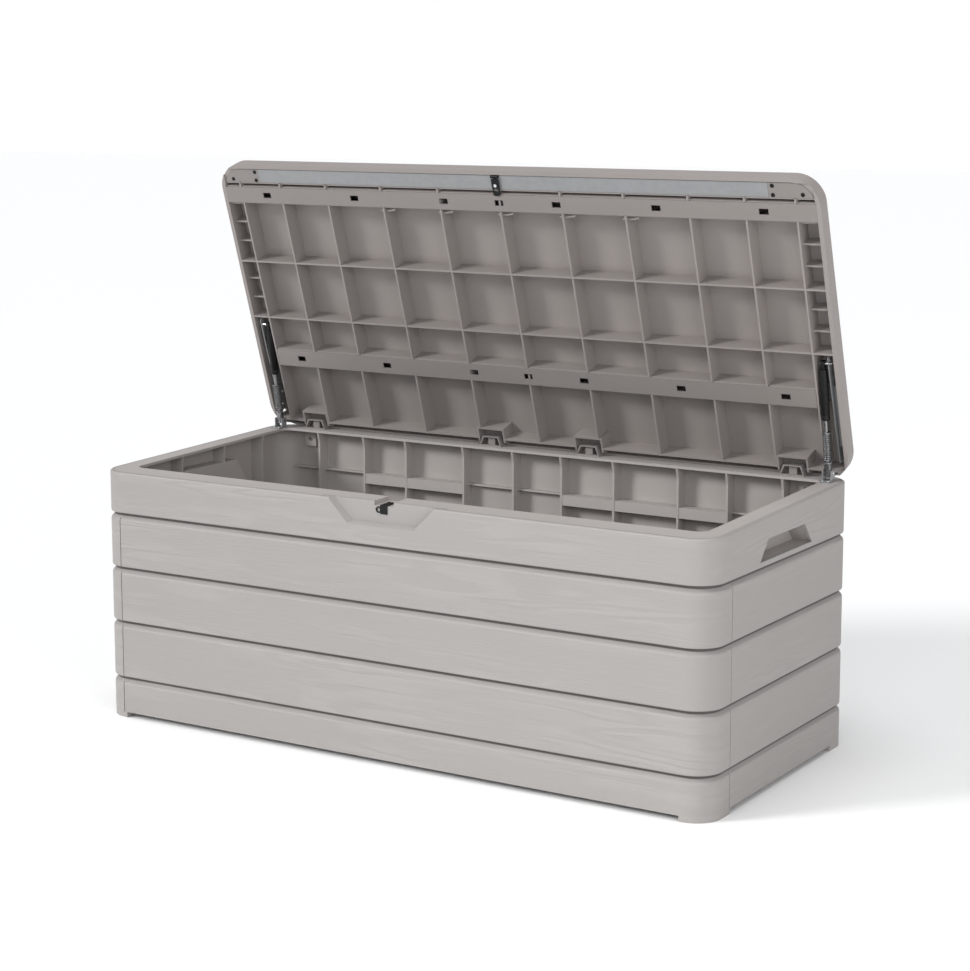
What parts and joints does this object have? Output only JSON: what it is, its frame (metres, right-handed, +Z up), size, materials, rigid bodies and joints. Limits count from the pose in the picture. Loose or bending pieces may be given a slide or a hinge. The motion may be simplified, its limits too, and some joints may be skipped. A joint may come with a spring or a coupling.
{
  "type": "deck storage box",
  "caption": "Plank-pattern resin garden storage chest with a ribbed hinged lid held open by sprung stays, recessed hand holds and a padlock hasp.",
  "frame": {"origin": "centre of the footprint on the floor, on the sole of the middle foot", "axes": "+X along the box to its right, +Y to the back where the hinges are, +Z up; rest pose is the lid open"},
  "size_m": [1.518, 0.694, 1.2287],
  "materials": {
    "box_resin": "matte, moulded wood grain",
    "lid_resin": "matte, taupe grey",
    "bright_steel": "bright plated",
    "galvanised_steel": "light satin zinc",
    "black_steel": "black, semi-gloss",
    "spring_steel": "grey oiled"
  },
  "bodies": {
    "box": {"base_tray": "box_resin", "front_panel": "box_resin", "back_panel": "box_resin", "left_panel": "box_resin", "right_panel": "box_resin", "corner_pad_screws": "bright_steel", "padlock_staple": "black_steel", "staple_rivets": "black_steel", "hinge_lugs": "box_resin", "hinge_pins": "bright_steel", "stay_base_left": "galvanised_steel", "stay_base_right": "galvanised_steel", "stay_base_screws": "bright_steel", "stay_pivot_pins": "bright_steel"},
    "lid": {"lid_shell": "lid_resin", "middle_channel_cover": "lid_resin", "front_channel_cover": "lid_resin", "lid_front_bar": "galvanised_steel", "bar_end_plate_left": "lid_resin", "bar_end_plate_right": "lid_resin", "end_plate_screws": "black_steel", "lid_hooks": "lid_resin", "hasp_bracket": "black_steel", "hasp_pin": "black_steel", "stay_arm_left": "galvanised_steel", "stay_arm_right": "galvanised_steel", "stay_arm_screws": "bright_steel"},
    "hasp": {"hasp_leaf": "black_steel", "hasp_rivet": "bright_steel"},
    "rod_left": {"stay_rod_left": "spring_steel", "stay_spring_left": "spring_steel"},
    "cylinder_left": {"stay_cylinder_left": "black_steel", "stay_slide_pin_left": "bright_steel"},
    "rod_right": {"stay_rod_right": "spring_steel", "stay_spring_right": "spring_steel"},
    "cylinder_right": {"stay_cylinder_right": "black_steel", "stay_slide_pin_right": "bright_steel"}
  },
  "joints": [
    {"name": "lid_hinge", "type": "hinge", "parent": "box", "child": "lid", "pos_m": [0, 0.322, 0.58948], "axis": [1, 0, 0], "range_deg": [0, 73.66]},
    {"name": "hasp_hinge", "type": "hinge", "parent": "lid", "child": "hasp", "pos_m": [0, 0.10699, 1.20622], "axis": [-1, 0, 0], "range_deg": [0, 90]},
    {"name": "stay_pivot_left", "type": "hinge", "parent": "box", "child": "rod_left", "pos_m": [-0.72, 0.285, 0.59348], "axis": [1, 0, 0], "range_deg": [0, 83.61]},
    {"name": "stay_slide_left", "type": "slide", "parent": "rod_left", "child": "cylinder_left", "axis": [0, -0.1718, 0.9851], "range_m": [-0.02447, 0]},
    {"name": "stay_pivot_right", "type": "hinge", "parent": "box", "child": "rod_right", "pos_m": [0.72, 0.285, 0.59348], "axis": [1, 0, 0], "range_deg": [0, 83.61]},
    {"name": "stay_slide_right", "type": "slide", "parent": "rod_right", "child": "cylinder_right", "axis": [0, -0.1718, 0.9851], "range_m": [-0.02447, 0]}
  ],
  "couplings": [
    {"joint": "stay_pivot_left", "follows": "lid_hinge", "ratio": 1.1283},
    {"joint": "stay_slide_left", "follows": "lid_hinge", "m_per_rad": -0.018643},
    {"joint": "stay_pivot_right", "follows": "lid_hinge", "ratio": 1.1283},
    {"joint": "stay_slide_right", "follows": "lid_hinge", "m_per_rad": -0.018643}
  ]
}
